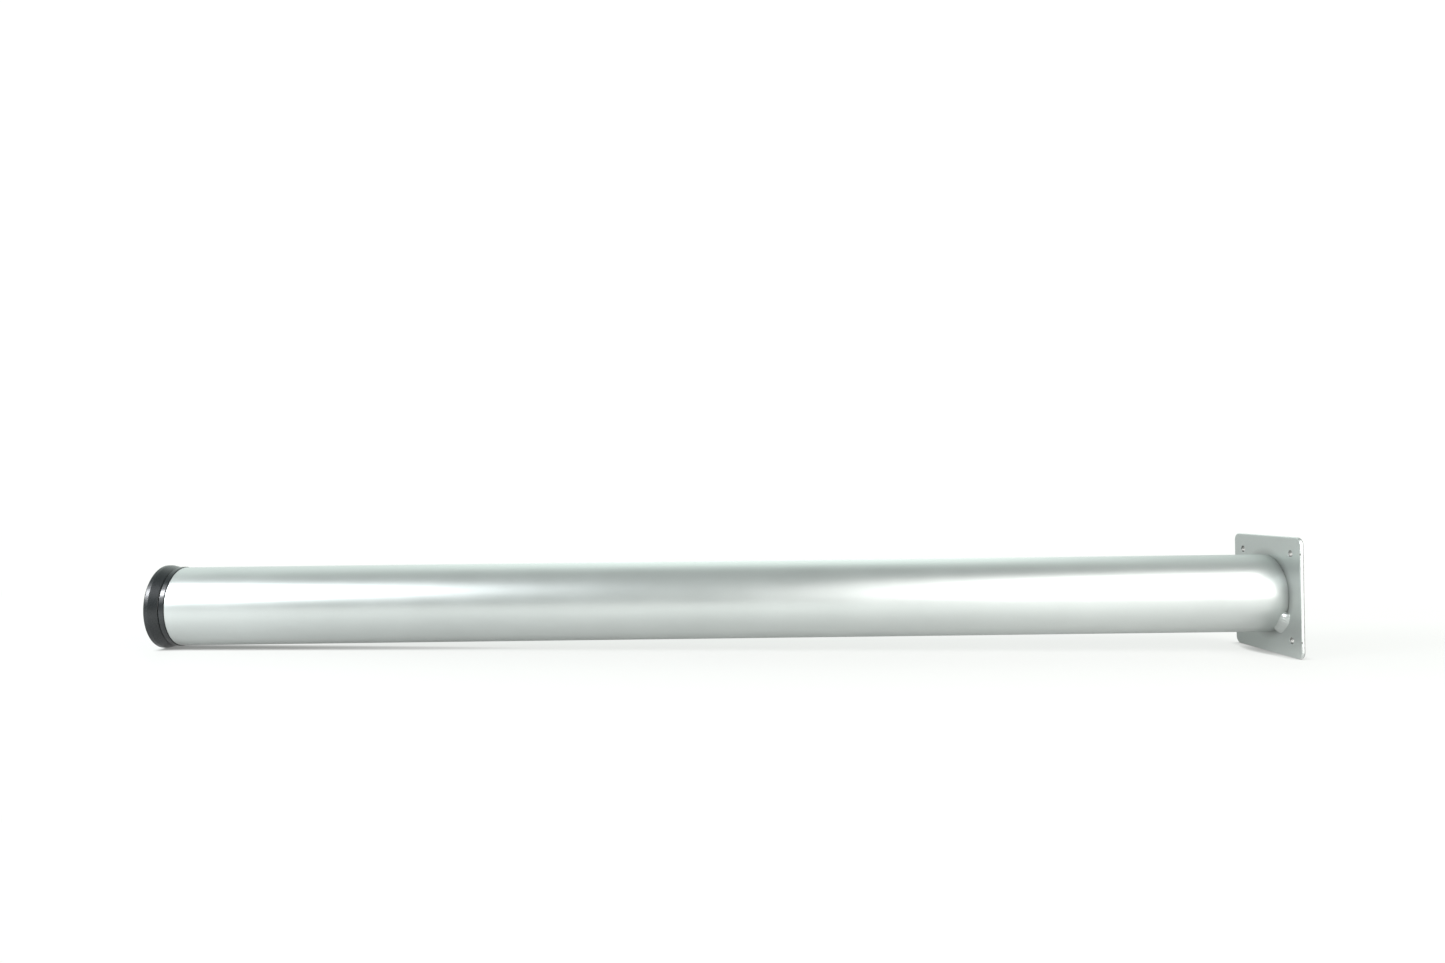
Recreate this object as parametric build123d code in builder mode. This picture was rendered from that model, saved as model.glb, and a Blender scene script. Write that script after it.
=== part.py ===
"""Round steel table leg with a welded screw-on plate and an adjustable plastic foot.

Millimetres. The leg lies along X: its mounting plate faces +X, its foot points to -X, +Z is up.
The origin is the centre of the plate's outer face, where the leg meets the table top.
"""

import os
from math import cos, pi, radians, tan

from build123d import *

# ---- Driving dimensions ------------------------------------------------------------------------

# Tube: precision steel tube, powder coated.
tube_diameter = 60.0
tube_wall = 1.5
tube_length = 842.5
tube_end_chamfer = 0.4

# Mounting plate: square blank with four screw holes.
plate_side = 90.0
plate_thickness = 3.0
plate_corner_radius = 5.5
plate_edge_round = 0.4
hole_spacing = 65.0
hole_diameter = 5.0
hole_edge_break = 0.3
nick_radius = 0.8  # dents that the welding jig left in one long edge, level with the holes

# Two fillet welds on opposite sides of the tube, angles measured from -Y towards +Z.
weld_leg_on_plate = 6.0
weld_leg_on_tube = 4.6
weld_bulge = 0.5
weld_arc = 40.0
weld_end_round = 1.2
weld_front_angle = -42.0
weld_rear_angle = weld_front_angle + 180.0

# Plastic insert: a collar that covers the tube's end and a finned barrel inside it.
collar_width = 3.9
collar_diameter = 60.9
collar_edge_round = 0.5
barrel_length = 30.0
barrel_diameter = 56.4
barrel_wall = 1.9
fin_count = 4
fin_pitch = 6.5
fin_width = 1.6
fin_squeeze = 0.08  # how much each fin is bigger in radius than the tube's bore
boss_diameter = 26.0
boss_length = 14.0
web_count = 6
web_thickness = 2.0
web_length = 11.0
stem_clearance_bore = 10.8

# M10 hardware: nut, hexagon-head stem and retaining clip for a shaft of 10 mm.
across_flats = 17.0
nut_height = 8.0
nut_recess = 0.5
nut_bore = 10.1
stem_diameter = 10.0
stem_length = 40.0
stem_head_height = 6.4
stem_end_chamfer = 1.0
hex_chamfer_angle = 30.0
clip_groove_diameter = 8.0
clip_groove_width = 1.1
clip_thickness = 1.0
clip_bore = 8.1
clip_diameter = 16.3
clip_mouth = 7.0
clip_relief_diameter = 3.0
clip_stop_clearance = 0.3

# Foot: a flared disc, ribbed underneath, that turns with the stem.
foot_gap = 0.5
disc_height = 10.0
disc_neck_diameter = 60.0
disc_diameter = 63.5
disc_land = 3.3  # straight part of the rim, from the ground up to where the disc starts to narrow
disc_shoulder_round = 0.9
disc_ground_round = 0.8
disc_rim_width = 3.6
disc_floor = 3.2
disc_hub_diameter = 27.0
disc_hub_recess = 0.8
disc_rib_count = 8
disc_rib_thickness = 2.2
foot_travel = 15.0

# ---- Derived dimensions ------------------------------------------------------------------------

tube_radius = tube_diameter / 2
bore_radius = tube_radius - tube_wall
plate_inner_x = -plate_thickness
tube_end_x = plate_inner_x - tube_length
hex_corner_radius = across_flats / 2 / cos(pi / 6)
stem_radius = stem_diameter / 2


def past_end(distance):
    """X of a place that lies this far past the tube's end, towards the ground."""
    return tube_end_x - distance


collar_face_x = past_end(collar_width)
nut_outer_x = collar_face_x + nut_recess
nut_inner_x = nut_outer_x + nut_height
disc_top_x = collar_face_x - foot_gap
disc_floor_x = disc_top_x - disc_floor
disc_ground_x = disc_top_x - disc_height
head_outer_x = disc_ground_x + disc_hub_recess
head_inner_x = head_outer_x + stem_head_height
stem_end_x = head_inner_x + stem_length
boss_end_x = past_end(-boss_length)
clip_x = boss_end_x + clip_stop_clearance + foot_travel + clip_thickness / 2
join = 1.0  # how far webs, ribs and cutting shapes reach into or past the wall that they meet


def ring(x_from, x_to, outer_radius, inner_radius=0.0, mode=Mode.ADD):
    """Add or cut a plain ring about the X axis inside the current part."""
    with BuildSketch(Plane.YZ.offset(x_from), mode=Mode.PRIVATE) as profile:
        Circle(outer_radius)
        if inner_radius > 0:
            Circle(inner_radius, mode=Mode.SUBTRACT)
    extrude(profile.sketch, amount=x_to - x_from, mode=mode)


def hexagon(x_from, x_to, mode=Mode.ADD):
    """Add or cut a hexagonal prism about the X axis inside the current part."""
    with BuildSketch(Plane.YZ.offset(x_from), mode=Mode.PRIVATE) as profile:
        RegularPolygon(across_flats / 2, side_count=6, major_radius=False)
    extrude(profile.sketch, amount=x_to - x_from, mode=mode)


def break_hex_corners(face_x, inward):
    """Turn off the six corners on one face of a nut or bolt head; inward is 1 or -1 along X."""
    flat_radius = across_flats / 2
    outside_radius = hex_corner_radius + join
    depth = (outside_radius - flat_radius) * tan(radians(hex_chamfer_angle))
    with BuildSketch(Plane.XZ, mode=Mode.PRIVATE) as wedge:
        with BuildLine():
            Polyline(
                (face_x, flat_radius),
                (face_x, outside_radius),
                (face_x + inward * depth, outside_radius),
                close=True,
            )
        make_face()
    revolve(wedge.sketch, axis=Axis.X, mode=Mode.SUBTRACT)


os.makedirs("parts", exist_ok=True)

# ---- Leg tube ----------------------------------------------------------------------------------

with BuildPart() as leg_tube:
    with BuildSketch(Plane.YZ.offset(plate_inner_x)):
        Circle(tube_radius)
        Circle(bore_radius, mode=Mode.SUBTRACT)
    extrude(amount=-tube_length)
    outer_rims = leg_tube.edges().filter_by(GeomType.CIRCLE).group_by(SortBy.RADIUS)[-1]
    chamfer(outer_rims, length=tube_end_chamfer)

# ---- Mounting plate ----------------------------------------------------------------------------

with BuildPart() as mounting_plate:
    with BuildSketch(Plane.YZ.offset(plate_inner_x)):
        RectangleRounded(plate_side, plate_side, plate_corner_radius)
        with GridLocations(hole_spacing, hole_spacing, 2, 2):
            Circle(hole_diameter / 2, mode=Mode.SUBTRACT)
    extrude(amount=plate_thickness)
    hole_rims = mounting_plate.edges().filter_by(GeomType.CIRCLE).group_by(SortBy.RADIUS)[0]
    chamfer(hole_rims, length=hole_edge_break)
    inner_face, outer_face = mounting_plate.faces().filter_by(Axis.X).sort_by(Axis.X)
    outlines = inner_face.outer_wire().edges() + outer_face.outer_wire().edges()
    fillet(outlines, radius=plate_edge_round)
    with Locations(
        (plate_inner_x, -plate_side / 2, hole_spacing / 2),
        (plate_inner_x, -plate_side / 2, -hole_spacing / 2),
    ):
        Sphere(nick_radius, mode=Mode.SUBTRACT)

# ---- Weld beads --------------------------------------------------------------------------------

# Each bead fills the corner between tube and plate; its profile is swept about X from one end.
weld_root = (plate_inner_x, tube_radius)
toe_on_tube = (plate_inner_x - weld_leg_on_tube, tube_radius)
toe_on_plate = (plate_inner_x, tube_radius + weld_leg_on_plate)

for side, middle_angle in (("front", weld_front_angle), ("rear", weld_rear_angle)):
    with BuildPart() as weld_bead:
        with BuildSketch(Plane.XZ.rotated((90 - middle_angle - weld_arc / 2, 0, 0))):
            with BuildLine():
                Line(weld_root, toe_on_tube)
                SagittaArc(toe_on_tube, toe_on_plate, -weld_bulge)
                Line(toe_on_plate, weld_root)
            make_face()
        revolve(axis=Axis.X, revolution_arc=weld_arc)
        end_crowns = weld_bead.edges().filter_by(GeomType.CIRCLE).sort_by(SortBy.LENGTH)[:2]
        fillet(end_crowns, radius=weld_end_round)
    weld_bead.part.label = f"weld_bead_{side}"
    export_step(weld_bead.part, f"parts/weld_bead_{side}.step")

# ---- Foot insert -------------------------------------------------------------------------------

with BuildPart() as foot_insert:
    ring(collar_face_x, tube_end_x, collar_diameter / 2)
    collar_rims = foot_insert.edges().filter_by(GeomType.CIRCLE)
    fillet(collar_rims, radius=collar_edge_round)
    barrel_radius = barrel_diameter / 2
    barrel_bore_radius = barrel_radius - barrel_wall
    ring(tube_end_x, past_end(-barrel_length), barrel_radius, barrel_bore_radius)
    ring(tube_end_x, boss_end_x, boss_diameter / 2)
    for index in range(fin_count):
        fin_x = past_end(-fin_pitch * (index + 0.5))
        ring(fin_x, fin_x + fin_width, bore_radius + fin_squeeze, barrel_bore_radius)
    web_inner_radius = boss_diameter / 2 - join
    web_span = barrel_bore_radius + join - web_inner_radius
    with BuildSketch(Plane.YZ.offset(tube_end_x)):
        with PolarLocations(web_inner_radius + web_span / 2, web_count):
            Rectangle(web_span, web_thickness)
    extrude(amount=web_length)
    hexagon(collar_face_x, nut_inner_x, mode=Mode.SUBTRACT)
    ring(collar_face_x, boss_end_x, stem_clearance_bore / 2, mode=Mode.SUBTRACT)

# ---- Nut ---------------------------------------------------------------------------------------

with BuildPart() as insert_nut:
    hexagon(nut_outer_x, nut_inner_x)
    break_hex_corners(nut_outer_x, inward=1)
    break_hex_corners(nut_inner_x, inward=-1)
    ring(nut_outer_x, nut_inner_x, nut_bore / 2, mode=Mode.SUBTRACT)

# ---- Foot stem ---------------------------------------------------------------------------------

with BuildPart() as foot_stem:
    hexagon(head_outer_x, head_inner_x)
    break_hex_corners(head_outer_x, inward=1)
    ring(head_inner_x, stem_end_x, stem_radius)
    chamfer(foot_stem.edges().sort_by(Axis.X)[-1], length=stem_end_chamfer)
    ring(
        clip_x - clip_groove_width / 2,
        clip_x + clip_groove_width / 2,
        stem_radius + join,
        clip_groove_diameter / 2,
        mode=Mode.SUBTRACT,
    )

# ---- Stem clip ---------------------------------------------------------------------------------

with BuildPart() as stem_clip:
    with BuildSketch(Plane.YZ.offset(clip_x - clip_thickness / 2)):
        Circle(clip_diameter / 2)
        Circle(clip_bore / 2, mode=Mode.SUBTRACT)
        with Locations((0, -clip_diameter / 4)):
            Rectangle(clip_mouth, clip_diameter / 2, mode=Mode.SUBTRACT)
        with PolarLocations(clip_bore / 2, 3, start_angle=-30, angular_range=240):
            Circle(clip_relief_diameter / 2, mode=Mode.SUBTRACT)
    extrude(amount=clip_thickness)

# ---- Foot disc ---------------------------------------------------------------------------------

with BuildPart() as foot_disc:
    neck_radius = disc_neck_diameter / 2
    disc_radius = disc_diameter / 2
    with BuildSketch(Plane.XZ):
        with BuildLine():
            Polyline(
                (disc_top_x, 0),
                (disc_top_x, neck_radius),
                (disc_ground_x + disc_land, disc_radius),
                (disc_ground_x, disc_radius),
                (disc_ground_x, disc_radius - disc_rim_width),
                (disc_floor_x, disc_radius - disc_rim_width),
                (disc_floor_x, 0),
                close=True,
            )
        make_face()
    revolve(axis=Axis.X)
    top_rim = foot_disc.edges().filter_by(GeomType.CIRCLE).sort_by(Axis.X)[-1]
    fillet(top_rim, radius=disc_shoulder_round)
    ground_rims = foot_disc.edges().filter_by(GeomType.CIRCLE).group_by(Axis.X)[0]
    fillet(ground_rims.sort_by(SortBy.RADIUS)[-1], radius=disc_ground_round)
    ring(disc_floor_x, head_outer_x, disc_hub_diameter / 2)
    rib_inner_radius = disc_hub_diameter / 2 - join
    rib_span = disc_radius - disc_rim_width + join - rib_inner_radius
    with BuildSketch(Plane.YZ.offset(disc_floor_x)):
        with PolarLocations(rib_inner_radius + rib_span / 2, disc_rib_count):
            Rectangle(rib_span, disc_rib_thickness)
    extrude(amount=head_outer_x - disc_floor_x)
    hexagon(head_outer_x, head_inner_x, mode=Mode.SUBTRACT)
    ring(head_outer_x, disc_top_x, stem_radius, mode=Mode.SUBTRACT)

# ---- Labels and files --------------------------------------------------------------------------

leg_tube.part.label = "leg_tube"
export_step(leg_tube.part, "parts/leg_tube.step")
mounting_plate.part.label = "mounting_plate"
export_step(mounting_plate.part, "parts/mounting_plate.step")
foot_insert.part.label = "foot_insert"
export_step(foot_insert.part, "parts/foot_insert.step")
insert_nut.part.label = "insert_nut"
export_step(insert_nut.part, "parts/insert_nut.step")
foot_stem.part.label = "foot_stem"
export_step(foot_stem.part, "parts/foot_stem.step")
stem_clip.part.label = "stem_clip"
export_step(stem_clip.part, "parts/stem_clip.step")
foot_disc.part.label = "foot_disc"
export_step(foot_disc.part, "parts/foot_disc.step")

print(f"overall length {-disc_ground_x:.1f}, foot travel {foot_travel:.1f}")
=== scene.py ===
"""Looks for the round steel table leg: silver powder coat, welded plate, black screw foot.

Metres, in the row frame: the leg lies along X, its plate faces +X and its foot points to -X.
"""

from math import acos, atan2, cos, floor, pi, radians, sin, sqrt, tan

import bpy
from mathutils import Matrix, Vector
from mathutils.geometry import tessellate_polygon


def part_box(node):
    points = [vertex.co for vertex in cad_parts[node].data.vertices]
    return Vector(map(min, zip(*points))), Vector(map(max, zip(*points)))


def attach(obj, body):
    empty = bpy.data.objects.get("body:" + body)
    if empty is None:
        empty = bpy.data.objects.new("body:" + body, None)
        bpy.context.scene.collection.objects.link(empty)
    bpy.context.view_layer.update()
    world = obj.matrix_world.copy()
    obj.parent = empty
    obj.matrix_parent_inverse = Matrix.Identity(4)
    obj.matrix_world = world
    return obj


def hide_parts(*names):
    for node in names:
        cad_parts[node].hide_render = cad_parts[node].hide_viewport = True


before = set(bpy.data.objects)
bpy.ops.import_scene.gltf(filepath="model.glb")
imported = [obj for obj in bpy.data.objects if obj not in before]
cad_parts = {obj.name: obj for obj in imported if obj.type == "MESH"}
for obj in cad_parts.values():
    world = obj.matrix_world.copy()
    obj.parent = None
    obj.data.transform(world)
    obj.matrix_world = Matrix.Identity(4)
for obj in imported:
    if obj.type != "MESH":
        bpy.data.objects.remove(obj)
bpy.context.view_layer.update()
MM = 0.001

# ---- Places and sizes read from the frame --------------------------------------------------------

tube_low, tube_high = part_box("leg_tube")
plate_low, plate_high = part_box("mounting_plate")
disc_low, disc_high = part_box("foot_disc")
stem_low, stem_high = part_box("foot_stem")
nut_low, nut_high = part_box("insert_nut")
clip_low, clip_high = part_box("stem_clip")
insert_low, insert_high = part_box("foot_insert")

tube_radius = tube_high.y  # its CAD mesh has a corner at +Y but none straight up
plate_inner_x = tube_high.x
tube_end_x = tube_low.x
across_flats = stem_high.z - stem_low.z  # two of the head's flats face up and down

# ---- Sizes that only the looks need ---------------------------------------------------------------

tube_wall = 1.5 * MM
tube_edge_round = 0.45 * MM
tube_rings = 24
tube_segments = 256
weld_middle = {"front": radians(-42), "rear": radians(138)}
weld_half_arc = radians(19)
weld_leg_on_tube = 4.6 * MM
weld_leg_on_plate = 5.2 * MM
weld_bulge = 0.7 * MM
weld_ripple = 0.11 * MM
weld_ripple_pitch = radians(3.6)
weld_root_depth = 0.15 * MM  # how far it reaches into tube and plate
weld_thin_end = 0.12  # its size at both ends, as a share of the full size
thread_pitch = 1.5 * MM
thread_radius = 5.0 * MM
thread_depth = 0.92 * MM
thread_root_flat = 0.16  # as a share of half a pitch
thread_flank = 0.66
stem_head_height = 6.4 * MM
clip_groove_radius = 4.0 * MM
stem_segments = 72
plate_corner_radius = 5.5 * MM
plate_inner_round = 0.6 * MM
plate_outer_round = 1.2 * MM
plate_inset = 1.5 * MM  # how far in from its edge the flat faces start
plate_corner_steps = 14
hole_radius = 2.5 * MM
hole_edge_round = 0.35 * MM
hole_inset = 0.8 * MM
hole_segments = 48
hole_offset = 32.5 * MM  # from the axis to each hole, in Y and in Z
nick_radius = 0.8 * MM
nick_zone = 1.1 * MM  # half the stretch of edge with finer points for a nick
nick_steps = 14
corner_shade_reach = 6.0 * MM  # how far from the joint of tube and plate the painted corner shade reaches
# how dark the painted shade gets right at the joint of tube and plate
corner_shade_depth = 0.3


# ---- Mesh helpers ---------------------------------------------------------------------------------


def make_object(name, vertices, faces, smooth_angle=radians(32)):
    """A mesh object in the row frame, smooth where its faces meet at less than the angle."""
    mesh = bpy.data.meshes.new(name)
    mesh.from_pydata(vertices, [], faces)
    mesh.validate()
    mesh.shade_smooth()
    mesh.set_sharp_from_angle(angle=smooth_angle)
    piece = bpy.data.objects.new(name, mesh)
    bpy.context.scene.collection.objects.link(piece)
    return piece


def grid_faces(rows, columns, close_rows, close_columns):
    """Quads of a grid of points stored row by row, wrapped round in either direction."""
    faces = []
    for i in range(rows if close_rows else rows - 1):
        for j in range(columns if close_columns else columns - 1):
            i_next = (i + 1) % rows
            j_next = (j + 1) % columns
            faces.append(
                (i * columns + j, i * columns + j_next, i_next * columns + j_next, i_next * columns + j)
            )
    return faces


def around_x(x, radius, angle):
    """A point at this radius from the X axis; angle 0 is -Y and a quarter turn is +Z."""
    return (x, -radius * cos(angle), radius * sin(angle))


def rounded_profile(corners, steps=7):
    """Points of a closed outline of (x, radius, rounding) corners, each corner turned into an arc."""
    points = []
    for i, (x, r, rounding) in enumerate(corners):
        corner = Vector((x, r))
        before = Vector(corners[i - 1][:2])
        after = Vector(corners[(i + 1) % len(corners)][:2])
        to_before = (before - corner).normalized()
        to_after = (after - corner).normalized()
        half_angle = acos(max(-1.0, min(1.0, to_before.dot(to_after)))) / 2
        centre = corner + (to_before + to_after).normalized() * rounding / sin(half_angle)
        start = corner + to_before * rounding / tan(half_angle) - centre
        end = corner + to_after * rounding / tan(half_angle) - centre
        turn = atan2(start.x * end.y - start.y * end.x, start.dot(end))
        for step in range(steps + 1):
            angle = turn * step / steps
            swung = Vector(
                (start.x * cos(angle) - start.y * sin(angle), start.x * sin(angle) + start.y * cos(angle))
            )
            points.append(centre + swung)
    return points


def lathe(name, outline, segments):
    """A closed ring-shaped solid: the outline of (x, radius) points turned about the X axis."""
    vertices = [
        around_x(point[0], point[1], 2 * pi * k / segments) for point in outline for k in range(segments)
    ]
    return make_object(name, vertices, grid_faces(len(outline), segments, True, True))


# ---- Material helpers -----------------------------------------------------------------------------


MIX_COLOUR_A, MIX_COLOUR_B, MIX_COLOUR_RESULT = 6, 7, 2  # a Mix node's colour sockets, by number


class Nodes:
    """Short calls for building one material's node tree around its Principled shader."""

    def __init__(self, name):
        self.material = bpy.data.materials.new(name)
        self.material.use_nodes = True
        self.tree = self.material.node_tree
        self.shader = self.tree.nodes["Principled BSDF"]
        self.place = self.add("ShaderNodeTexCoord").outputs["Object"]

    def add(self, kind, **settings):
        node = self.tree.nodes.new(kind)
        for key, value in settings.items():
            setattr(node, key, value)
        return node

    def link(self, output, target):
        self.tree.links.new(output, target)

    def noise(self, scale, detail=2.0, roughness=0.5, place=None):
        """Noise from 0 to 1 whose grains are about 1/scale metres across."""
        node = self.add("ShaderNodeTexNoise")
        node.inputs["Scale"].default_value = scale
        node.inputs["Detail"].default_value = detail
        node.inputs["Roughness"].default_value = roughness
        self.link(place or self.place, node.inputs["Vector"])
        return node.outputs["Fac"]

    def stretched(self, scale):
        """The object's coordinates scaled by a different amount along each axis."""
        node = self.add("ShaderNodeMapping")
        node.inputs["Scale"].default_value = scale
        self.link(self.place, node.inputs["Vector"])
        return node.outputs["Vector"]

    def remap(self, value, low, high, new_low, new_high):
        """The value moved from one interval to another and kept inside it."""
        node = self.add("ShaderNodeMapRange")
        for key, number in (("From Min", low), ("From Max", high), ("To Min", new_low), ("To Max", new_high)):
            if isinstance(number, (int, float)):
                node.inputs[key].default_value = number
            else:
                self.link(number, node.inputs[key])
        self.link(value, node.inputs["Value"])
        return node.outputs["Result"]

    def maths(self, operation, first, second):
        """A Math node's result; each value is a number or a node's output."""
        node = self.add("ShaderNodeMath", operation=operation)
        for socket, value in zip(node.inputs, (first, second)):
            if isinstance(value, (int, float)):
                socket.default_value = value
            else:
                self.link(value, socket)
        return node.outputs["Value"]

    def length(self, *offsets):
        """The distance whose parts along each axis are these offsets."""
        total = self.maths("MULTIPLY", offsets[0], offsets[0])
        for offset in offsets[1:]:
            total = self.maths("ADD", total, self.maths("MULTIPLY", offset, offset))
        return self.maths("POWER", total, 0.5)

    def blend(self, factor, first, second):
        """A colour between two others, each of them three numbers or a node's output."""
        node = self.add("ShaderNodeMix", data_type="RGBA")
        self.link(factor, node.inputs["Factor"])
        for number, colour in ((MIX_COLOUR_A, first), (MIX_COLOUR_B, second)):
            if isinstance(colour, tuple):
                node.inputs[number].default_value = (*colour, 1)
            else:
                self.link(colour, node.inputs[number])
        return node.outputs[MIX_COLOUR_RESULT]

    def bump(self, height, strength, distance, base=None):
        node = self.add("ShaderNodeBump")
        node.inputs["Strength"].default_value = strength
        node.inputs["Distance"].default_value = distance
        self.link(height, node.inputs["Height"])
        if base is not None:
            self.link(base, node.inputs["Normal"])
        return node.outputs["Normal"]

    def set(self, **values):
        """Numbers, colours or node outputs for the Principled shader's sockets."""
        for key, value in values.items():
            socket = self.shader.inputs[key.replace("_", " ")]
            if isinstance(value, bpy.types.NodeSocket):
                self.link(value, socket)
            else:
                socket.default_value = value


# ---- Materials ------------------------------------------------------------------------------------


def silver_powder_coat():
    """Satin metallic silver powder coat: aluminium flakes under a slightly wavy clear skin."""
    n = Nodes("silver_powder_coat")
    flakes = n.noise(5200, detail=1.0)
    clouds = n.noise(22, detail=3.0)
    peel = n.noise(620, detail=1.5)
    shade = n.maths("ADD", n.maths("MULTIPLY", flakes, 0.6), n.maths("MULTIPLY", clouds, 0.4))
    colour = n.blend(n.remap(shade, 0.3, 0.7, 0, 1), (0.482, 0.510, 0.496), (0.547, 0.577, 0.562))
    skin = n.bump(peel, 0.10, 0.12 * MM)
    colour, roughness = powder_coat_details(n, colour, n.remap(clouds, 0.3, 0.7, 0.33, 0.37))
    n.set(
        Base_Color=colour,
        Metallic=0.8,
        Roughness=roughness,
        Normal=n.bump(flakes, 0.05, 0.02 * MM, base=skin),
        Coat_Weight=0.25,
        Coat_Roughness=0.12,
        Coat_IOR=1.5,
    )
    return n.material


def powder_coat_details(n, colour, roughness):
    """The coat's colour and roughness: painted shade and a rougher coat in holes and nicks, painted shade in
    the inner corner and along the plate's outer arris, rubbed on the edges.
    """
    place = n.add("ShaderNodeSeparateXYZ")
    n.link(n.place, place.inputs["Vector"])
    x = place.outputs["X"]
    from_plate = n.maths("SUBTRACT", x, plate_low.x)
    from_near_edge = n.maths("SUBTRACT", place.outputs["Y"], plate_low.y)
    out_from_axis = [n.maths("ABSOLUTE", place.outputs[axis], 0) for axis in ("Y", "Z")]
    from_hole = [n.maths("SUBTRACT", distance, hole_offset) for distance in out_from_axis]

    # Painted shade inside the screw holes and the nicks in the near edge, on the plate only; these places
    # also get a rougher coat.
    in_hole = n.remap(n.length(*from_hole), hole_radius + 0.18 * MM, hole_radius + 0.02 * MM, 0, 1)
    nick_distance = n.length(from_plate, from_near_edge, from_hole[1])
    in_nick = n.remap(nick_distance, nick_radius + 0.12 * MM, nick_radius + 0.01 * MM, 0, 1)
    on_plate = n.remap(x, plate_low.x - 0.1 * MM, plate_low.x - 0.02 * MM, 0, 1)
    recess = n.maths("MULTIPLY", n.maths("MAXIMUM", in_hole, in_nick), on_plate)

    off_tube = n.maths("SUBTRACT", n.length(*out_from_axis), tube_radius)
    # Painted shade in the inner corner where the tube meets the plate, fading out a few millimetres away, on
    # the plate's inner side only.
    near_corner = n.remap(n.length(off_tube, from_plate), corner_shade_reach, 0, 0, corner_shade_depth)
    inner_side = n.remap(x, plate_low.x + 0.8 * MM, plate_low.x + 0.4 * MM, 0, 1)
    corner_shade = n.maths("MULTIPLY", near_corner, inner_side)

    straight = plate_high.y - plate_corner_radius
    past = [n.maths("MAXIMUM", n.maths("SUBTRACT", distance, straight), 0) for distance in out_from_axis]
    inside = n.maths("SUBTRACT", plate_corner_radius, n.length(*past))
    plate_rim = n.remap(inside, 0.55 * MM, 0.1 * MM, 0, 1)
    # Painted shade: a dark line along the rounded edge of the plate's outer face.
    outer_half = n.remap(x, plate_high.x - plate_outer_round, plate_high.x - 1.0 * MM, 0, 1)
    arris_shade = n.maths("MULTIPLY", outer_half, n.remap(inside, 0.85 * MM, 0.6 * MM, 0, 1))

    # All the painted shade together (holes, nicks, outer arris, inner corner), blended towards near-black.
    painted_shade_amount = n.maths("MAXIMUM", n.maths("MULTIPLY", recess, 0.62), n.maths("MULTIPLY", arris_shade, 0.6))
    shaded_colour = n.blend(n.maths("MAXIMUM", painted_shade_amount, corner_shade), colour, (0.06, 0.055, 0.05))
    tube_rim = n.remap(x, tube_end_x + 0.7 * MM, tube_end_x + 0.1 * MM, 0, 1)
    spots = n.remap(n.noise(750, detail=4.0, roughness=0.65), 0.5, 0.64, 0, 1)
    rubbed = n.maths("MULTIPLY", n.maths("MAXIMUM", plate_rim, tube_rim), spots)
    bright = n.blend(n.maths("MULTIPLY", rubbed, 0.45), shaded_colour, (0.64, 0.64, 0.63))
    roughness = n.maths("ADD", roughness, n.maths("MULTIPLY", recess, 0.08))
    return bright, n.maths("SUBTRACT", roughness, n.maths("MULTIPLY", rubbed, 0.07))


def collar_plastic():
    """Glossy black moulded plastic with faint flow waves."""
    n = Nodes("collar_plastic")
    waves = n.noise(160, detail=2.0)
    grain = n.noise(3500, detail=1.0)
    n.set(
        Base_Color=n.blend(n.remap(waves, 0.35, 0.65, 0, 1), (0.010, 0.012, 0.013), (0.016, 0.019, 0.020)),
        Roughness=n.remap(grain, 0.3, 0.7, 0.16, 0.22),
        Normal=n.bump(waves, 0.08, 0.15 * MM),
        IOR=1.5,
    )
    return n.material


def foot_plastic():
    """Satin black moulded plastic, a little greyer where it rubs on the floor."""
    n = Nodes("foot_plastic")
    grain = n.noise(2600, detail=2.0)
    patches = n.noise(90, detail=3.0)
    place = n.add("ShaderNodeSeparateXYZ")
    n.link(n.place, place.inputs["Vector"])
    near_ground = n.remap(place.outputs["X"], disc_low.x + 1.0 * MM, disc_low.x, 0, 1)
    scuffs = n.noise(900, detail=4.0, roughness=0.7)
    wear = n.maths("MULTIPLY", near_ground, n.remap(scuffs, 0.45, 0.62, 0, 1))
    mix = n.maths("ADD", n.remap(patches, 0.3, 0.7, 0, 0.15), n.maths("MULTIPLY", wear, 0.4))
    n.set(
        Base_Color=n.blend(mix, (0.008, 0.010, 0.011), (0.036, 0.039, 0.040)),
        Roughness=n.maths("ADD", n.remap(grain, 0.3, 0.7, 0.24, 0.31), n.maths("MULTIPLY", wear, 0.12)),
        Normal=n.bump(grain, 0.08, 0.02 * MM),
        IOR=1.5,
    )
    return n.material


def zinc_plate():
    """Bright zinc plating with faint drawn lines along the screw."""
    n = Nodes("zinc_plated_steel")
    lines = n.noise(1.0, detail=3.0, place=n.stretched((120, 2600, 2600)))
    stains = n.noise(240, detail=3.0)
    n.set(
        Base_Color=n.blend(n.remap(stains, 0.35, 0.65, 0, 1), (0.61, 0.62, 0.60), (0.72, 0.73, 0.72)),
        Metallic=1.0,
        Roughness=n.remap(stains, 0.3, 0.7, 0.26, 0.34),
        Normal=n.bump(lines, 0.08, 0.03 * MM),
    )
    return n.material


def spring_steel():
    """Dark phosphated spring steel."""
    n = Nodes("spring_steel")
    grain = n.noise(1800, detail=3.0)
    n.set(
        Base_Color=n.blend(n.remap(grain, 0.3, 0.7, 0, 1), (0.07, 0.07, 0.075), (0.16, 0.16, 0.165)),
        Metallic=1.0,
        Roughness=n.remap(grain, 0.3, 0.7, 0.38, 0.5),
        Normal=n.bump(grain, 0.15, 0.02 * MM),
    )
    return n.material


# ---- Pieces ---------------------------------------------------------------------------------------


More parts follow.
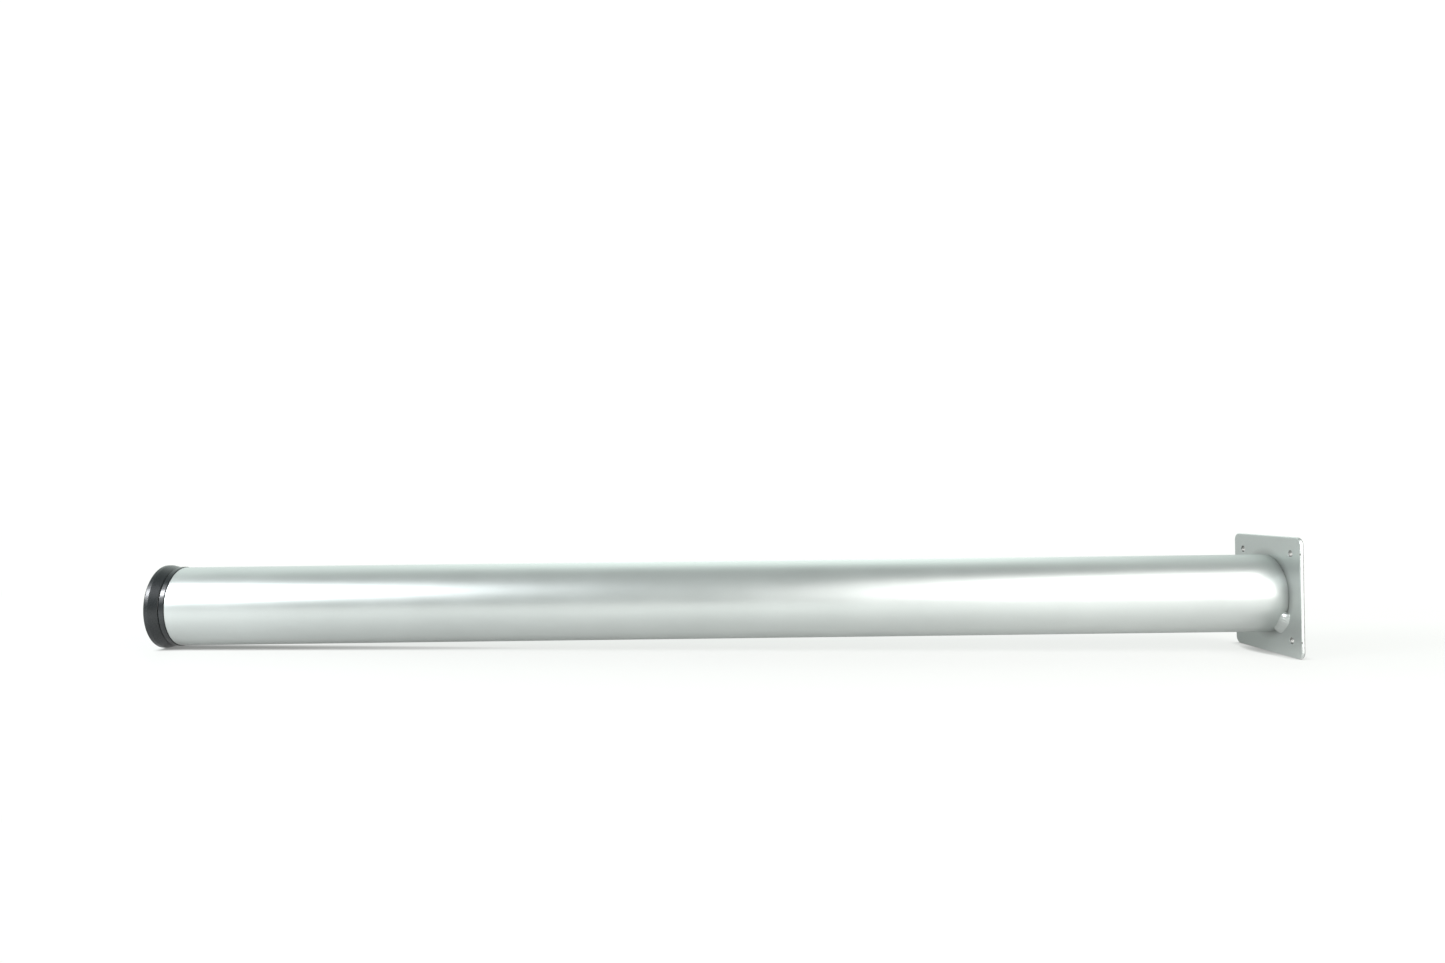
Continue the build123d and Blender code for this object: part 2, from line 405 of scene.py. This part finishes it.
def build_tube():
    """The tube's wall with its cut ends softened by the powder coat."""
    inner_radius = tube_radius - tube_wall
    corners = [
        (plate_inner_x, tube_radius, tube_edge_round),
        (tube_end_x, tube_radius, tube_edge_round),
        (tube_end_x, inner_radius, tube_edge_round / 2),
        (plate_inner_x, inner_radius, tube_edge_round / 2),
    ]
    outline = rounded_profile(corners)
    start = next(i for i in range(len(outline) - 1) if outline[i].x - outline[i + 1].x > 0.5)
    first, last = outline[start], outline[start + 1]
    between = [first.lerp(last, k / tube_rings) for k in range(1, tube_rings)]
    return lathe("tube_wall", outline[: start + 1] + between + outline[start + 1 :], tube_segments)


def edge_profile(inner_round, outer_round, inset, steps=8):
    """Across a plate's edge from one flat to the other: (distance in from the edge, x)."""
    inner_x, outer_x = plate_low.x, plate_high.x
    arc = [pi / 2 * k / steps for k in range(steps + 1)]
    start = [(inner_round * (1 - sin(a)), inner_x + inner_round * (1 - cos(a))) for a in arc]
    end = [(outer_round * (1 - sin(a)), outer_x - outer_round * (1 - cos(a))) for a in reversed(arc)]
    length = outer_x - outer_round - inner_x - inner_round
    middle = [(0.0, inner_x + inner_round + length * k / 4) for k in range(1, 4)]
    return [(inset, inner_x)] + start + middle + end + [(inset, outer_x)]


def plate_outline():
    """Round the square: (y, z) of the edge and its outward direction, closer together at the nicks."""
    half = plate_high.y
    straight = half - plate_corner_radius
    along = [-straight + straight * k / 20 for k in range(41)]
    for nick_z in (-hole_offset, hole_offset):
        along = [z for z in along if abs(z - nick_z) > nick_zone]
        along += [nick_z + nick_zone * k / nick_steps for k in range(-nick_steps, nick_steps + 1)]
    along.sort()
    points = []
    for quarter in range(4):
        turn = radians(90 * quarter)
        side = [(half, t, 0.0) for t in along]
        for k in range(1, plate_corner_steps):
            angle = radians(90) * k / plate_corner_steps
            corner_y = straight + plate_corner_radius * cos(angle)
            corner_z = straight + plate_corner_radius * sin(angle)
            side.append((corner_y, corner_z, angle))
        for a, b, angle in side:
            y, z = a * cos(turn) - b * sin(turn), a * sin(turn) + b * cos(turn)
            points.append((y, z, cos(turn + angle), sin(turn + angle)))
    return points


def build_plate():
    """The square plate: coated round edges, four screw holes and two small nicks in one edge."""
    loops = [(plate_outline(), edge_profile(plate_inner_round, plate_outer_round, plate_inset), 1)]
    for centre_y in (-hole_offset, hole_offset):
        for centre_z in (-hole_offset, hole_offset):
            ring = []
            for k in range(hole_segments):
                c, s = cos(2 * pi * k / hole_segments), sin(2 * pi * k / hole_segments)
                ring.append((centre_y + hole_radius * c, centre_z + hole_radius * s, -c, -s))
            loops.append((ring, edge_profile(hole_edge_round, hole_edge_round, hole_inset, steps=5), -1))
    vertices, faces = [], []
    first_flat, last_flat = [], []
    nicks = [Vector((plate_low.x, plate_low.y, z)) for z in (-hole_offset, hole_offset)]
    for outline, profile, winding in loops:
        base = len(vertices)
        for distance, x in profile:
            for y, z, out_y, out_z in outline:
                point = Vector((x, y - out_y * distance, z - out_z * distance))
                for nick in nicks:
                    away = point - nick
                    if away.length < nick_radius:
                        point = nick + away.normalized() * nick_radius
                vertices.append(point)
        count = len(outline)
        for face in grid_faces(len(profile), count, False, True):
            faces.append(tuple(base + i for i in (face if winding > 0 else reversed(face))))
        first_flat.append(list(range(base, base + count)))
        last_flat.append([base + (len(profile) - 1) * count + k for k in range(count)])
    for flat, outward in ((first_flat, -1), (last_flat, 1)):
        numbers = [i for loop in flat for i in loop]
        for triangle in tessellate_polygon([[vertices[i] for i in loop] for loop in flat]):
            a, b, c = (numbers[i] for i in triangle)
            facing = (vertices[b] - vertices[a]).cross(vertices[c] - vertices[a]).x
            faces.append((a, b, c) if facing * outward > 0 else (a, c, b))
    return make_object("plate_with_holes", vertices, faces)


def build_weld_bead(side):
    """A rippled fillet bead that swells from a rounded start and thins to a rounded end."""
    middle = weld_middle[side]
    along, across = 120, 18
    vertices = []
    for i in range(along + 1):
        t = -1 + 2 * i / along
        angle = middle + weld_half_arc * t
        fullness = sqrt(max(0.0, 1 - abs(t) ** 5))
        size = weld_thin_end + (1 - weld_thin_end) * fullness * (1 + 0.05 * sin(5 * t))
        tube_toe = (plate_inner_x - weld_leg_on_tube * size, tube_radius - weld_root_depth)
        plate_toe = (plate_inner_x + weld_root_depth, tube_radius + weld_leg_on_plate * size)
        for j in range(across + 1):
            s = j / across
            crown = 4 * s * (1 - s)
            phase = (angle - middle) / weld_ripple_pitch - 0.9 * crown
            ripple = weld_ripple * fullness * crown * (abs(2 * (phase - floor(phase)) - 1) * 2 - 1)
            lift = weld_bulge * crown * size + ripple
            x = tube_toe[0] + (plate_toe[0] - tube_toe[0]) * s - lift * 0.75
            r = tube_toe[1] + (plate_toe[1] - tube_toe[1]) * s + lift * 0.65
            vertices.append(around_x(x, r, angle))
        vertices.append(around_x(plate_inner_x + weld_root_depth, tube_radius - weld_root_depth, angle))
    columns = across + 2
    faces = grid_faces(along + 1, columns, False, True)
    faces.append(tuple(reversed(range(columns))))
    faces.append(tuple(range(along * columns, (along + 1) * columns)))
    return make_object(f"weld_{side}", vertices, faces, smooth_angle=radians(50))


def thread_profile(phase):
    """How far a 60 degree thread stands out of its root, from 0 to 1, over one pitch."""
    away = abs(phase - floor(phase) - 0.5) * 2
    return max(0.0, min(1.0, (away - thread_root_flat) / thread_flank))


def build_stem():
    """The screw: turned hexagon head, rolled right-hand thread, clip groove and chamfered end."""
    head_inner_x = stem_low.x + stem_head_height
    flat_radius = across_flats / 2
    corner_radius = across_flats / sqrt(3)
    between_radius = (flat_radius + corner_radius) / 2
    chamfer = tan(radians(30))
    rows = []

    def hexagon_radius(angle, limit):
        """The head's radius, with corners at -Y and +Y as in its pocket, cut down to the limit."""
        from_flat = angle % (pi / 3) - pi / 6
        return min(flat_radius / cos(from_flat), limit)

    for x, limit in (
        (stem_low.x, 0.0),
        (stem_low.x, flat_radius * 0.55),
        (stem_low.x, flat_radius * 0.93),
        (stem_low.x + 0.12 * MM, flat_radius * 0.97),
        (stem_low.x + (between_radius - flat_radius) * chamfer, between_radius),
        (stem_low.x + (corner_radius - flat_radius) * chamfer + 0.1 * MM, corner_radius),
        (head_inner_x - 0.15 * MM, corner_radius),
        (head_inner_x, corner_radius - 0.15 * MM),
        (head_inner_x, thread_radius + 0.3 * MM),
        (head_inner_x + 0.35 * MM, thread_radius - 0.1 * MM),
    ):
        turns = (2 * pi * k / stem_segments for k in range(stem_segments))
        rows.append([(x, hexagon_radius(turn, limit)) for turn in turns])
    steps_per_pitch = 14
    step = thread_pitch / steps_per_pitch
    start_x = head_inner_x + 0.5 * MM
    count = int((stem_high.x - start_x) / step)
    for i in range(count + 1):
        x = start_x + (stem_high.x - start_x) * i / count
        run_in = min(1.0, (x - start_x) / (1.5 * thread_pitch))
        end_limit = thread_radius - max(0.0, x - (stem_high.x - 1.0 * MM))
        row = []
        for k in range(stem_segments):
            phase = x / thread_pitch + k / stem_segments  # the angle runs from -Y to +Z: a right-hand helix
            depth = thread_depth * (1 - thread_profile(phase)) * run_in
            radius = min(thread_radius - depth, end_limit)
            if clip_low.x - 0.05 * MM <= x <= clip_high.x + 0.05 * MM:
                radius = min(radius, clip_groove_radius)
            row.append((x, radius))
        rows.append(row)
    rows.append([(stem_high.x, 0.0)] * stem_segments)
    vertices = [around_x(x, r, 2 * pi * k / stem_segments) for row in rows for k, (x, r) in enumerate(row)]
    faces = grid_faces(len(rows), stem_segments, False, True)
    return make_object("threaded_stem", vertices, faces, smooth_angle=radians(38))


def dress_cad_node(name, material):
    """Gives a CAD node that keeps its own shape a finished material."""
    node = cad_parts[name]
    for material_slot in node.material_slots:
        material_slot.material = material


def place_piece(piece, body, node, material):
    """A new piece rides on its body, stands for its CAD node and takes its finish."""
    piece.data.materials.append(material)
    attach(piece, body)
    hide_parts(node)


coat = silver_powder_coat()
gloss_black = collar_plastic()
satin_black = foot_plastic()
zinc = zinc_plate()
dark_steel = spring_steel()

place_piece(build_tube(), "leg", "leg_tube", coat)
place_piece(build_plate(), "leg", "mounting_plate", coat)
for bead_side in ("front", "rear"):
    bead = build_weld_bead(bead_side)
    place_piece(bead, "leg", f"weld_bead_{bead_side}", coat)
place_piece(build_stem(), "foot", "foot_stem", zinc)
dress_cad_node("foot_insert", gloss_black)
dress_cad_node("foot_disc", satin_black)
dress_cad_node("insert_nut", zinc)
dress_cad_node("stem_clip", dark_steel)

# ---- Floor ----------------------------------------------------------------------------------------

floor_radius = 40.0
floor_fade = (0.04, 0.4)  # distances from the leg over which shading gives way to plain white
floor_glow = 0.30  # share of its light that the floor gives off itself, as the leg sees it
floor_seen = (0.95, 1.03)  # how white it looks to the camera, beside the leg and further off
floor_seen_glow = 0.75  # share of that which it gives off itself, which cast shadows don't darken but the painted contact shadow does
floor_reflected_glow = 1.5

# How light the floor is for the leg's reflections, as shares that change from place to place.
floor_behind = 0.34  # just behind the leg
floor_far_behind = 0.5
floor_behind_y = (0.4, 1.6)
floor_in_front = (0.96, 1.18)  # in front of it, from left to right
floor_in_front_x = (-0.66, -0.2)
floor_at_plate = 0.84  # a further share in front of the plate
floor_at_plate_x = (-0.12, 0.02)
floor_near_camera = 0.62  # and close to the camera
floor_near_camera_y = (-0.5, -0.12)
floor_back_to_front_y = (0.06, -0.09)

# Painted contact shadow on the floor: an ambient occlusion node darkens its glow near the pieces. These set
# its reach and the darkest it gets.
contact_round = 0.8 * MM
contact_reach = 7 * MM  # how far from the floor a piece still darkens it with painted contact shadow
plate_contact_reach = 22 * MM
contact_openness = (0.2, 0.8)
contact_darkest = 0.3


def build_floor():
    """A white floor under the foot's rim and the plate's lower edge, fading into the white room. It partly
    glows, differently for the camera and for the leg's reflections, and a painted contact shadow darkens its
    glow near the pieces.
    """
    foot_contact = Vector((disc_low.x + contact_round, 0, disc_low.z))
    plate_contact = Vector((plate_low.x, 0, plate_low.z))
    along = (plate_contact - foot_contact).normalized()
    centre = (foot_contact + plate_contact) / 2 - Vector((0, 0, 0.03 * MM))
    sides = 96
    ring = []
    for k in range(sides):
        turn = 2 * pi * k / sides
        aside = Vector((0, floor_radius * sin(turn), 0))
        ring.append(centre + along * floor_radius * cos(turn) + aside)
    board = make_object("floor", ring, [tuple(range(sides))])
    n = Nodes("floor_white")
    grain = n.noise(400, detail=3.0)
    place = n.add("ShaderNodeSeparateXYZ")
    n.link(n.place, place.inputs["Vector"])
    x, y = place.outputs["X"], place.outputs["Y"]
    far = n.remap(y, *floor_behind_y, floor_behind, floor_far_behind)
    in_front = n.remap(x, *floor_in_front_x, *floor_in_front)
    in_front = n.maths("MULTIPLY", in_front, n.remap(x, *floor_at_plate_x, 1, floor_at_plate))
    front = n.maths("MULTIPLY", in_front, n.remap(y, *floor_near_camera_y, floor_near_camera, 1))
    reflected = n.remap(y, *floor_back_to_front_y, far, front)
    seen = n.add("ShaderNodeLightPath").outputs["Is Camera Ray"]
    share = n.remap(seen, 0, 1, reflected, 1)
    white = n.add("ShaderNodeVectorMath", operation="SCALE")
    n.link(n.blend(grain, (0.74, 0.745, 0.732), (0.77, 0.775, 0.762)), white.inputs[0])
    n.link(share, white.inputs["Scale"])
    n.set(Base_Color=white.outputs["Vector"], Roughness=0.55, Specular_IOR_Level=0.3)
    shift = n.add("ShaderNodeMapping")
    shift.inputs["Location"].default_value = (-centre.x * 0.1, 0, 0)
    shift.inputs["Scale"].default_value = (0.1, 1, 1)
    n.link(n.place, shift.inputs["Vector"])
    distance = n.add("ShaderNodeVectorMath", operation="LENGTH")
    n.link(shift.outputs["Vector"], distance.inputs[0])
    glow = n.add("ShaderNodeEmission")
    glow.inputs["Color"].default_value = (0.985, 1, 0.98, 1)
    # Painted contact shadow: the glow the camera sees is darkened by ambient occlusion, which reaches further
    # near the plate.
    openness = n.add("ShaderNodeAmbientOcclusion", samples=16)
    plate_zone = (plate_low.x - 30 * MM, plate_low.x - 8 * MM)
    reach = n.remap(x, *plate_zone, contact_reach, plate_contact_reach)
    n.link(reach, openness.inputs["Distance"])
    contact = n.remap(openness.outputs["AO"], *contact_openness, contact_darkest, 1)
    paleness = n.remap(distance.outputs["Value"], 0.03, 0.2, *floor_seen)
    as_reflected = n.maths("MULTIPLY", share, floor_reflected_glow)
    strength = n.remap(seen, 0, 1, as_reflected, n.maths("MULTIPLY", contact, paleness))
    n.link(strength, glow.inputs["Strength"])
    mix = n.add("ShaderNodeMixShader")
    glow_share = n.remap(seen, 0, 1, floor_glow, floor_seen_glow)
    n.link(n.remap(distance.outputs["Value"], *floor_fade, glow_share, 1), mix.inputs["Fac"])
    n.link(n.shader.outputs["BSDF"], mix.inputs[1])
    n.link(glow.outputs["Emission"], mix.inputs[2])
    n.link(mix.outputs["Shader"], n.tree.nodes["Material Output"].inputs["Surface"])
    board.data.materials.append(n.material)


build_floor()

# ---- Studio light ---------------------------------------------------------------------------------


# How bright the room is as light, by direction. To the camera it is plain white.
room_dim = 0.37  # overhead and in front
room_back_left = 1.08
room_back = 1.65
room_back_right = 0.78
room_corner = 0.12  # far to the right
backdrop_left = (-0.45, -0.05)
backdrop_right = (0.22, 0.5)
backdrop_top = (0.68, 1.12)
backdrop_front = (-0.05, 0.55)
corner_right = (0.62, 0.8)
seen_white = 1.02
softbox_spacing = 0.02  # between the nested parts of one softbox


def build_room():
    """A white room around the leg: bright behind it, dim overhead, in front and far to the right."""
    world = bpy.data.worlds.new("white_room")
    bpy.context.scene.world = world
    world.use_nodes = True
    tree = world.node_tree
    tree.nodes.clear()
    direction = tree.nodes.new("ShaderNodeSeparateXYZ")
    place = tree.nodes.new("ShaderNodeTexCoord")
    tree.links.new(place.outputs["Generated"], direction.inputs["Vector"])

    def ramp(axis, interval, start, end):
        """A strength that goes smoothly from start to end as the direction turns along an axis."""
        node = tree.nodes.new("ShaderNodeMapRange")
        node.interpolation_type = "SMOOTHSTEP"
        tree.links.new(direction.outputs[axis], node.inputs["Value"])
        node.inputs["From Min"].default_value, node.inputs["From Max"].default_value = interval
        for key, value in (("To Min", start), ("To Max", end)):
            if isinstance(value, (int, float)):
                node.inputs[key].default_value = value
            else:
                tree.links.new(value, node.inputs[key])
        return node.outputs["Result"]

    leftward = ramp("X", backdrop_left, room_back_left, room_back)
    sideways = ramp("X", backdrop_right, leftward, room_back_right)
    backdrop = ramp("Z", backdrop_top, sideways, room_dim)
    strength = ramp("X", corner_right, ramp("Y", backdrop_front, room_dim, backdrop), room_corner)
    as_light = tree.nodes.new("ShaderNodeBackground")
    as_light.inputs["Color"].default_value = (0.905, 1, 0.962, 1)
    tree.links.new(strength, as_light.inputs["Strength"])
    as_seen = tree.nodes.new("ShaderNodeBackground")
    as_seen.inputs["Color"].default_value = (1, 1, 1, 1)
    as_seen.inputs["Strength"].default_value = seen_white
    mix = tree.nodes.new("ShaderNodeMixShader")
    tree.links.new(tree.nodes.new("ShaderNodeLightPath").outputs["Is Camera Ray"], mix.inputs["Fac"])
    tree.links.new(as_light.outputs["Background"], mix.inputs[1])
    tree.links.new(as_seen.outputs["Background"], mix.inputs[2])
    tree.links.new(mix.outputs["Shader"], tree.nodes.new("ShaderNodeOutputWorld").inputs["Surface"])


def add_softbox(name, x_middle, width, top, bottom, tint, parts):
    """An oval soft light, leaning from its top (y, z) edge to its bottom edge.

    Its parts are ovals inside one another: a share of the width, one of the height, a radiance.
    """
    top_middle = Vector((x_middle, *top))
    bottom_middle = Vector((x_middle, *bottom))
    upward = top_middle - bottom_middle
    facing = upward.cross(Vector((1, 0, 0))).normalized()
    for i, (width_share, height_share, radiance) in enumerate(parts):
        data = bpy.data.lights.new(f"{name}_{i}", "AREA")
        data.shape = "ELLIPSE"
        data.size = width * width_share
        data.size_y = upward.length * height_share
        data.color = tint
        data.energy = radiance * pi * (pi / 4 * data.size * data.size_y)
        lamp = bpy.data.objects.new(data.name, data)
        bpy.context.scene.collection.objects.link(lamp)
        lamp.location = (top_middle + bottom_middle) / 2 + facing * softbox_spacing * i
        lamp.rotation_euler = facing.to_track_quat("-Z", "Y").to_euler()
        lamp.visible_camera = False


left_parts = ((1.0, 1.0, 1.0), (0.82, 0.8, 2.0), (0.42, 0.36, 30.0))
right_parts = ((1.0, 1.0, 1.2), (0.78, 0.78, 2.9))
add_softbox("softbox_left", -1.70, 1.9, (-0.33, 1.16), (-1.16, 0.28), (0.98, 1.0, 1.04), left_parts)
add_softbox("softbox_right", 0.68, 2.0, (-0.32, 1.05), (-1.3, -0.4), (1.03, 1.0, 1.0), right_parts)
build_room()
bpy.context.scene.view_settings.view_transform = "Standard"

# ---- Camera ---------------------------------------------------------------------------------------

camera_data = bpy.data.cameras.new("camera")
camera_data.lens = 24.16
camera_data.sensor_width = 36.0
camera = bpy.data.objects.new("camera", camera_data)
bpy.context.scene.collection.objects.link(camera)
camera.location = (-0.4330, -0.7569, 0.0818)
camera.rotation_euler = (radians(90.768), radians(0.659), radians(-0.407))
bpy.context.scene.camera = camera
